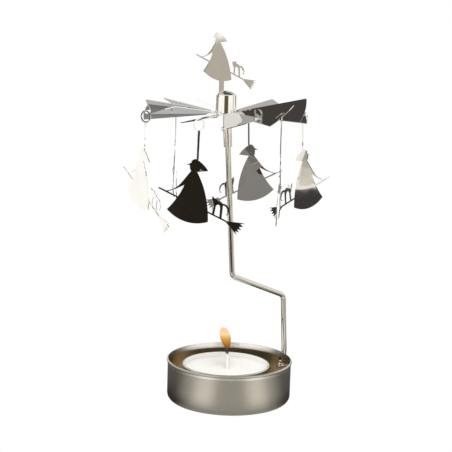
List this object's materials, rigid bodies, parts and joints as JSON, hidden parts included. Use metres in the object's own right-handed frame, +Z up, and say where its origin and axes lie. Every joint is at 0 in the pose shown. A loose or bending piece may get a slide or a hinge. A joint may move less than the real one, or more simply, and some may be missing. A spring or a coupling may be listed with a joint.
{
  "type": "rotary tealight carousel",
  "caption": "Metal tealight cup with a bent wire mast; a bladed rotor with hanging flat broom-rider figures turns on a needle above the flame.",
  "frame": {"origin": "centre of the cup's bottom face, which stands on the table", "axes": "+Z up, -Y towards the viewer of the picture, +X to the viewer's right, where the wire leaves the cup"},
  "size_m": [0.088, 0.0948, 0.1577],
  "materials": {
    "cup_steel": "satin, drawn cup",
    "rod_wire": "bright plated wire",
    "needle_steel": "ground steel",
    "bright_sheet": "polished plated sheet",
    "tealight_aluminium": "bright thin sheet",
    "wax": "smooth paraffin wax",
    "sustainer_steel": "tinned sheet",
    "wick_cotton": "charred braided cotton"
  },
  "bodies": {
    "stand": {"base_cup": "cup_steel", "stand_rod": "rod_wire", "mast_sleeve": "rod_wire", "sleeve_pin": "rod_wire", "pivot_needle": "needle_steel"},
    "rotor": {"hub_cap": "bright_sheet", "bearing_cup": "needle_steel", "rotor_wheel": "bright_sheet", "finial_figure": "bright_sheet"},
    "tealight": {"tealight_cup": "tealight_aluminium", "tealight_wax": "wax", "wick_sustainer": "sustainer_steel", "tealight_wick": "wick_cotton"},
    "figure_1": {"hanging_figure_1": "bright_sheet"},
    "figure_2": {"hanging_figure_2": "bright_sheet"},
    "figure_3": {"hanging_figure_3": "bright_sheet"},
    "figure_4": {"hanging_figure_4": "bright_sheet"},
    "figure_5": {"hanging_figure_5": "bright_sheet"},
    "figure_6": {"hanging_figure_6": "bright_sheet"}
  },
  "joints": [
    {"name": "rotor_spin", "type": "hinge", "parent": "stand", "child": "rotor", "pos_m": [-0.0046, 0, 0.1329], "axis": [0, 0, 1], "continuous": true},
    {"name": "tealight_lift", "type": "slide", "parent": "stand", "child": "tealight", "axis": [0, 0, 1], "range_m": [0, 0.022]},
    {"name": "figure_1_swing", "type": "hinge", "parent": "rotor", "child": "figure_1", "pos_m": [-0.01464, -0.03288, 0.12362], "axis": [-0.9532, 0.3024, 0], "range_deg": [-10, 15]},
    {"name": "figure_2_swing", "type": "hinge", "parent": "rotor", "child": "figure_2", "pos_m": [0.01845, -0.0255, 0.12557], "axis": [-0.7385, -0.6743, 0], "range_deg": [-10, 15]},
    {"name": "figure_3_swing", "type": "hinge", "parent": "rotor", "child": "figure_3", "pos_m": [0.02896, 0.00746, 0.12498], "axis": [0.2147, -0.9767, 0], "range_deg": [-10, 15]},
    {"name": "figure_4_swing", "type": "hinge", "parent": "rotor", "child": "figure_4", "pos_m": [0.00549, 0.03286, 0.12423], "axis": [0.9532, -0.3024, 0], "range_deg": [-10, 15]},
    {"name": "figure_5_swing", "type": "hinge", "parent": "rotor", "child": "figure_5", "pos_m": [-0.02725, 0.02587, 0.12595], "axis": [0.7385, 0.6743, 0], "range_deg": [-10, 15]},
    {"name": "figure_6_swing", "type": "hinge", "parent": "rotor", "child": "figure_6", "pos_m": [-0.03829, -0.00685, 0.12442], "axis": [-0.2147, 0.9767, 0], "range_deg": [-10, 15]}
  ]
}
